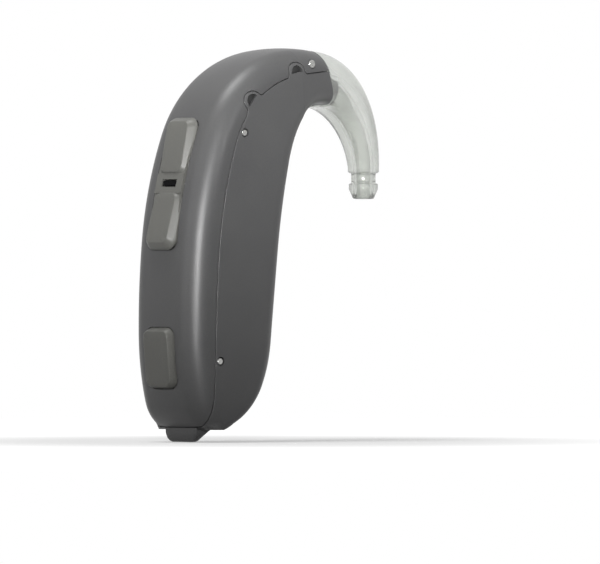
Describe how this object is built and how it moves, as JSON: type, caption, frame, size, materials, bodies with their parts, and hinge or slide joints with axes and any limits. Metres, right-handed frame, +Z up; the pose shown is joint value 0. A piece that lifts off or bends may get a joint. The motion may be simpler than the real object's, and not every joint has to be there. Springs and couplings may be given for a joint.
{
  "type": "behind-the-ear hearing aid",
  "caption": "Curved two-shell hearing aid case with a clear ear hook, a volume rocker, a program button and a hinged battery door with the cell in its carrier.",
  "frame": {"origin": "centre of the bounding box at the lowest point, the tip of the nail grip", "axes": "+Z up along the case, +X from the back of the case towards the ear hook, +Y across the case, which is symmetric about Y = 0"},
  "size_m": [0.0297, 0.0104, 0.0405],
  "materials": {
    "shell_plastic": "satin graphite lacquer over moulded plastic",
    "button_plastic": "satin moulded plastic with crisp edges",
    "clear_plastic": "polished clear moulded plastic with a faint green tint",
    "window_plastic": "smoked light guide with a polished face",
    "lamp_resin": "clear lamp resin",
    "pin_steel": "drawn stainless steel, ends turned flat",
    "cell_steel": "nickel plated cell can",
    "can_steel": "drawn nickel alloy can",
    "gold_contact": "gold plated spring bronze",
    "soft_rubber": "soft matt silicone",
    "soft_tube": "soft silicone tube",
    "screen_mesh": "fine black acoustic mesh",
    "inner_plastic": "plain moulded plastic",
    "board_resin": "green solder mask on a flexible board",
    "chip_resin": "black moulding compound",
    "coil_copper": "lacquered copper winding"
  },
  "bodies": {
    "case": {"spine_cover": "shell_plastic", "base_shell": "shell_plastic", "ear_hook": "clear_plastic", "hook_pin": "pin_steel", "nozzle": "inner_plastic", "upper_case_pins": "pin_steel", "lower_case_pins": "pin_steel", "rocker_axle": "pin_steel", "light_guide": "window_plastic", "indicator_led": "lamp_resin", "program_axle": "pin_steel", "door_axle": "pin_steel", "positive_contact": "gold_contact", "negative_contact": "gold_contact", "front_microphone": "can_steel", "rear_microphone": "can_steel", "microphone_boots": "soft_rubber", "microphone_screens": "screen_mesh", "receiver": "can_steel", "receiver_boot": "soft_rubber", "sound_tube": "soft_tube", "inner_frame": "inner_plastic", "circuit_board": "board_resin", "amplifier_chip": "chip_resin", "telecoil": "coil_copper", "volume_switches": "can_steel", "program_switch": "can_steel"},
    "rocker": {"volume_rocker": "button_plastic"},
    "program": {"program_button": "button_plastic"},
    "door": {"battery_door": "shell_plastic", "battery_cell": "cell_steel"}
  },
  "joints": [
    {"name": "rocker_hinge", "type": "hinge", "parent": "case", "child": "rocker", "pos_m": [-0.01234, 0, 0.02639], "axis": [0, 1, 0], "range_deg": [-2, 2], "stiffness_Nm_per_rad": 0.2},
    {"name": "program_hinge", "type": "hinge", "parent": "case", "child": "program", "pos_m": [-0.01337, 0, 0.00667], "axis": [0, 1, 0], "range_deg": [0, 2.2], "stiffness_Nm_per_rad": 0.2},
    {"name": "door_hinge", "type": "hinge", "parent": "case", "child": "door", "pos_m": [-0.00356, 0, 0.01039], "axis": [0, -1, 0], "range_deg": [0, 75]}
  ]
}
